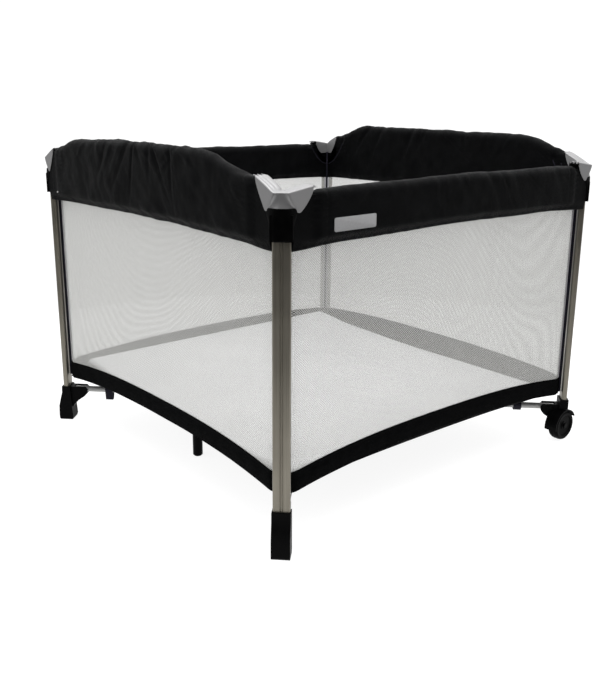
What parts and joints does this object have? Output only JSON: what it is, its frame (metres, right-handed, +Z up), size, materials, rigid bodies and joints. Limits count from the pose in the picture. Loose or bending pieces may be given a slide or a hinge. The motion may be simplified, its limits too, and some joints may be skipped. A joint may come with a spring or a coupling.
{
  "type": "playpen",
  "caption": "Square folding playpen with soft mesh sides on slim posts, padded top rails, a raised folding floor and a thin mattress.",
  "frame": {"origin": "on the ground, under the middle of the pen's footprint", "axes": "+Z up; the front side faces -Y; +X to the right, towards the wheeled end"},
  "size_m": [1.031, 1.031, 0.795],
  "materials": {
    "post_metal": "satin extruded section, grey with a slight olive cast",
    "tube_steel": "grey powder coat",
    "axle_steel": "plain zinc-plated",
    "black_plastic": "moulded black nylon, semi-matte",
    "grey_plastic": "moulded grey plastic, satin to glossy",
    "button_plastic": "moulded grey plastic",
    "wheel_plastic": "black moulded wheel",
    "cover_fabric": "black woven polyester, padded",
    "floor_fabric": "black woven polyester",
    "mesh_fabric": "fine open netting, off-white, with a black woven band below",
    "mattress_fabric": "pale grey-white quilted fabric"
  },
  "bodies": {
    "corner_front_left": {"post_front_left": "post_metal", "corner_housing_front_left": "black_plastic", "corner_cap_front_left": "grey_plastic", "foot_front_left": "black_plastic", "front_rail_cover": "cover_fabric", "front_mesh_wall": "mesh_fabric"},
    "corner_front_right": {"post_front_right": "post_metal", "corner_housing_front_right": "black_plastic", "corner_cap_front_right": "grey_plastic", "wheel_bracket_front_right": "black_plastic", "wheel_axle_front_right": "axle_steel", "right_rail_cover": "cover_fabric", "right_mesh_wall": "mesh_fabric"},
    "corner_back_right": {"post_back_right": "post_metal", "corner_housing_back_right": "black_plastic", "corner_cap_back_right": "grey_plastic", "wheel_bracket_back_right": "black_plastic", "wheel_axle_back_right": "axle_steel", "back_rail_cover": "cover_fabric", "back_mesh_wall": "mesh_fabric"},
    "corner_back_left": {"post_back_left": "post_metal", "corner_housing_back_left": "black_plastic", "corner_cap_back_left": "grey_plastic", "foot_back_left": "black_plastic", "left_rail_cover": "cover_fabric", "left_mesh_wall": "mesh_fabric"},
    "floor_tube_front_left": {"floor_tube_front_left": "tube_steel"},
    "floor_tube_front_right": {"floor_tube_front_right": "tube_steel"},
    "floor_tube_back_right": {"floor_tube_back_right": "tube_steel"},
    "floor_tube_back_left": {"floor_tube_back_left": "tube_steel"},
    "hub": {"floor_hub": "black_plastic", "hub_pull_strap": "cover_fabric", "floor_cloth": "floor_fabric"},
    "support_arm_left": {"support_arm_left": "tube_steel", "support_leg_left": "black_plastic"},
    "support_arm_right": {"support_arm_right": "tube_steel", "support_leg_right": "black_plastic"},
    "front_rail_left": {"front_rail_left": "tube_steel"},
    "front_latch": {"front_latch_housing": "black_plastic"},
    "front_rail_right": {"front_rail_right": "tube_steel"},
    "front_button": {"front_release_button": "button_plastic"},
    "right_rail_front": {"right_rail_front": "tube_steel"},
    "right_latch": {"right_latch_housing": "black_plastic"},
    "right_rail_back": {"right_rail_back": "tube_steel"},
    "right_button": {"right_release_button": "button_plastic"},
    "back_rail_right": {"back_rail_right": "tube_steel"},
    "back_latch": {"back_latch_housing": "black_plastic"},
    "back_rail_left": {"back_rail_left": "tube_steel"},
    "back_button": {"back_release_button": "button_plastic"},
    "left_rail_back": {"left_rail_back": "tube_steel"},
    "left_latch": {"left_latch_housing": "black_plastic"},
    "left_rail_front": {"left_rail_front": "tube_steel"},
    "left_button": {"left_release_button": "button_plastic"},
    "wheel_front_right": {"wheel_front_right": "wheel_plastic"},
    "wheel_back_right": {"wheel_back_right": "wheel_plastic"},
    "mattress_left": {"mattress_panel_left": "mattress_fabric"},
    "mattress_middle_left": {"mattress_panel_middle_left": "mattress_fabric"},
    "mattress_middle_right": {"mattress_panel_middle_right": "mattress_fabric"},
    "mattress_right": {"mattress_panel_right": "mattress_fabric"}
  },
  "joints": [
    {"name": "frame_fold", "type": "hinge", "parent": "corner_front_left", "child": "floor_tube_front_left", "pos_m": [-0.45954, -0.45954, 0.087], "axis": [0.7071, -0.7071, 0], "range_deg": [0, 82], "deforming": ["front_rail_cover", "right_rail_cover", "back_rail_cover", "left_rail_cover", "front_mesh_wall", "right_mesh_wall", "back_mesh_wall", "left_mesh_wall", "floor_cloth", "mattress_panel_left", "mattress_panel_middle_left", "mattress_panel_middle_right", "mattress_panel_right"]},
    {"name": "hub_fold", "type": "hinge", "parent": "floor_tube_front_left", "child": "hub", "pos_m": [-0.06454, -0.06454, 0.087], "axis": [-0.7071, 0.7071, 0], "range_deg": [0, 82]},
    {"name": "floor_tube_front_right_fold", "type": "hinge", "parent": "hub", "child": "floor_tube_front_right", "pos_m": [0.06454, -0.06454, 0.087], "axis": [0.7071, 0.7071, 0], "range_deg": [0, 82]},
    {"name": "corner_front_right_fold", "type": "hinge", "parent": "floor_tube_front_right", "child": "corner_front_right", "pos_m": [0.45954, -0.45954, 0.087], "axis": [-0.7071, -0.7071, 0], "range_deg": [0, 82]},
    {"name": "floor_tube_back_right_fold", "type": "hinge", "parent": "hub", "child": "floor_tube_back_right", "pos_m": [0.06454, 0.06454, 0.087], "axis": [-0.7071, 0.7071, 0], "range_deg": [0, 82]},
    {"name": "corner_back_right_fold", "type": "hinge", "parent": "floor_tube_back_right", "child": "corner_back_right", "pos_m": [0.45954, 0.45954, 0.087], "axis": [0.7071, -0.7071, 0], "range_deg": [0, 82]},
    {"name": "floor_tube_back_left_fold", "type": "hinge", "parent": "hub", "child": "floor_tube_back_left", "pos_m": [-0.06454, 0.06454, 0.087], "axis": [-0.7071, -0.7071, 0], "range_deg": [0, 82]},
    {"name": "corner_back_left_fold", "type": "hinge", "parent": "floor_tube_back_left", "child": "corner_back_left", "pos_m": [-0.45954, 0.45954, 0.087], "axis": [0.7071, 0.7071, 0], "range_deg": [0, 82]},
    {"name": "support_arm_left_fold", "type": "hinge", "parent": "hub", "child": "support_arm_left", "pos_m": [-0.082, 0.033, 0.087], "axis": [0, -1, 0], "range_deg": [0, 82]},
    {"name": "support_arm_right_fold", "type": "hinge", "parent": "hub", "child": "support_arm_right", "pos_m": [0.082, -0.033, 0.087], "axis": [0, 1, 0], "range_deg": [0, 82]},
    {"name": "front_rail_left_fold", "type": "hinge", "parent": "corner_front_left", "child": "front_rail_left", "pos_m": [-0.425, -0.491, 0.714], "axis": [0, 1, 0], "range_deg": [0, 82]},
    {"name": "front_latch_fold", "type": "hinge", "parent": "front_rail_left", "child": "front_latch", "pos_m": [-0.03, -0.491, 0.714], "axis": [0, -1, 0], "range_deg": [0, 82]},
    {"name": "front_rail_right_fold", "type": "hinge", "parent": "corner_front_right", "child": "front_rail_right", "pos_m": [0.425, -0.491, 0.714], "axis": [0, -1, 0], "range_deg": [0, 82]},
    {"name": "front_button_press", "type": "slide", "parent": "front_latch", "child": "front_button", "axis": [0, 0, 1], "range_m": [0, 0.004], "stiffness_N_per_m": 800, "springref_m": -0.001},
    {"name": "right_rail_front_fold", "type": "hinge", "parent": "corner_front_right", "child": "right_rail_front", "pos_m": [0.491, -0.425, 0.714], "axis": [-1, 0, 0], "range_deg": [0, 82]},
    {"name": "right_latch_fold", "type": "hinge", "parent": "right_rail_front", "child": "right_latch", "pos_m": [0.491, -0.03, 0.714], "axis": [1, 0, 0], "range_deg": [0, 82]},
    {"name": "right_rail_back_fold", "type": "hinge", "parent": "corner_back_right", "child": "right_rail_back", "pos_m": [0.491, 0.425, 0.714], "axis": [1, 0, 0], "range_deg": [0, 82]},
    {"name": "right_button_press", "type": "slide", "parent": "right_latch", "child": "right_button", "axis": [0, 0, 1], "range_m": [0, 0.004], "stiffness_N_per_m": 800, "springref_m": -0.001},
    {"name": "back_rail_right_fold", "type": "hinge", "parent": "corner_back_right", "child": "back_rail_right", "pos_m": [0.425, 0.491, 0.714], "axis": [0, -1, 0], "range_deg": [0, 82]},
    {"name": "back_latch_fold", "type": "hinge", "parent": "back_rail_right", "child": "back_latch", "pos_m": [0.03, 0.491, 0.714], "axis": [0, 1, 0], "range_deg": [0, 82]},
    {"name": "back_rail_left_fold", "type": "hinge", "parent": "corner_back_left", "child": "back_rail_left", "pos_m": [-0.425, 0.491, 0.714], "axis": [0, 1, 0], "range_deg": [0, 82]},
    {"name": "back_button_press", "type": "slide", "parent": "back_latch", "child": "back_button", "axis": [0, 0, 1], "range_m": [0, 0.004], "stiffness_N_per_m": 800, "springref_m": -0.001},
    {"name": "left_rail_back_fold", "type": "hinge", "parent": "corner_back_left", "child": "left_rail_back", "pos_m": [-0.491, 0.425, 0.714], "axis": [1, 0, 0], "range_deg": [0, 82]},
    {"name": "left_latch_fold", "type": "hinge", "parent": "left_rail_back", "child": "left_latch", "pos_m": [-0.491, 0.03, 0.714], "axis": [-1, 0, 0], "range_deg": [0, 82]},
    {"name": "left_rail_front_fold", "type": "hinge", "parent": "corner_front_left", "child": "left_rail_front", "pos_m": [-0.491, -0.425, 0.714], "axis": [-1, 0, 0], "range_deg": [0, 82]},
    {"name": "left_button_press", "type": "slide", "parent": "left_latch", "child": "left_button", "axis": [0, 0, 1], "range_m": [0, 0.004], "stiffness_N_per_m": 800, "springref_m": -0.001},
    {"name": "wheel_front_right_spin", "type": "hinge", "parent": "corner_front_right", "child": "wheel_front_right", "pos_m": [0.4755, -0.492, 0.04], "axis": [0, 1, 0], "continuous": true},
    {"name": "wheel_back_right_spin", "type": "hinge", "parent": "corner_back_right", "child": "wheel_back_right", "pos_m": [0.4755, 0.492, 0.04], "axis": [0, 1, 0], "continuous": true},
    {"name": "mattress_lift", "type": "hinge", "parent": "corner_front_left", "child": "mattress_left", "pos_m": [-0.434, -0.176, 0.262], "axis": [1, 0, 0], "range_deg": [0, 90.1]},
    {"name": "mattress_fold_left", "type": "hinge", "parent": "mattress_left", "child": "mattress_middle_left", "pos_m": [-0.217, 0, 0.1545], "axis": [0, -1, 0], "range_deg": [0, 180.1]},
    {"name": "mattress_fold_middle", "type": "hinge", "parent": "mattress_middle_left", "child": "mattress_middle_right", "pos_m": [0, 0, 0.1275], "axis": [0, 1, 0], "range_deg": [0, 180.1]},
    {"name": "mattress_fold_right", "type": "hinge", "parent": "mattress_middle_right", "child": "mattress_right", "pos_m": [0.217, 0, 0.1545], "axis": [0, -1, 0], "range_deg": [0, 180.1]}
  ],
  "couplings": [
    {"joint": "hub_fold", "follows": "frame_fold", "ratio": 1},
    {"joint": "floor_tube_front_right_fold", "follows": "frame_fold", "ratio": 1},
    {"joint": "corner_front_right_fold", "follows": "frame_fold", "ratio": 1},
    {"joint": "floor_tube_back_right_fold", "follows": "frame_fold", "ratio": 1},
    {"joint": "corner_back_right_fold", "follows": "frame_fold", "ratio": 1},
    {"joint": "floor_tube_back_left_fold", "follows": "frame_fold", "ratio": 1},
    {"joint": "corner_back_left_fold", "follows": "frame_fold", "ratio": 1},
    {"joint": "support_arm_left_fold", "follows": "frame_fold", "ratio": 1},
    {"joint": "support_arm_right_fold", "follows": "frame_fold", "ratio": 1},
    {"joint": "front_rail_left_fold", "follows": "frame_fold", "ratio": 1},
    {"joint": "front_latch_fold", "follows": "frame_fold", "ratio": 1},
    {"joint": "front_rail_right_fold", "follows": "frame_fold", "ratio": 1},
    {"joint": "right_rail_front_fold", "follows": "frame_fold", "ratio": 1},
    {"joint": "right_latch_fold", "follows": "frame_fold", "ratio": 1},
    {"joint": "right_rail_back_fold", "follows": "frame_fold", "ratio": 1},
    {"joint": "back_rail_right_fold", "follows": "frame_fold", "ratio": 1},
    {"joint": "back_latch_fold", "follows": "frame_fold", "ratio": 1},
    {"joint": "back_rail_left_fold", "follows": "frame_fold", "ratio": 1},
    {"joint": "left_rail_back_fold", "follows": "frame_fold", "ratio": 1},
    {"joint": "left_latch_fold", "follows": "frame_fold", "ratio": 1},
    {"joint": "left_rail_front_fold", "follows": "frame_fold", "ratio": 1},
    {"joint": "mattress_lift", "follows": "frame_fold", "ratio": 1.0976},
    {"joint": "mattress_fold_left", "follows": "frame_fold", "ratio": 2.1951},
    {"joint": "mattress_fold_middle", "follows": "frame_fold", "ratio": 2.1951},
    {"joint": "mattress_fold_right", "follows": "frame_fold", "ratio": 2.1951}
  ]
}
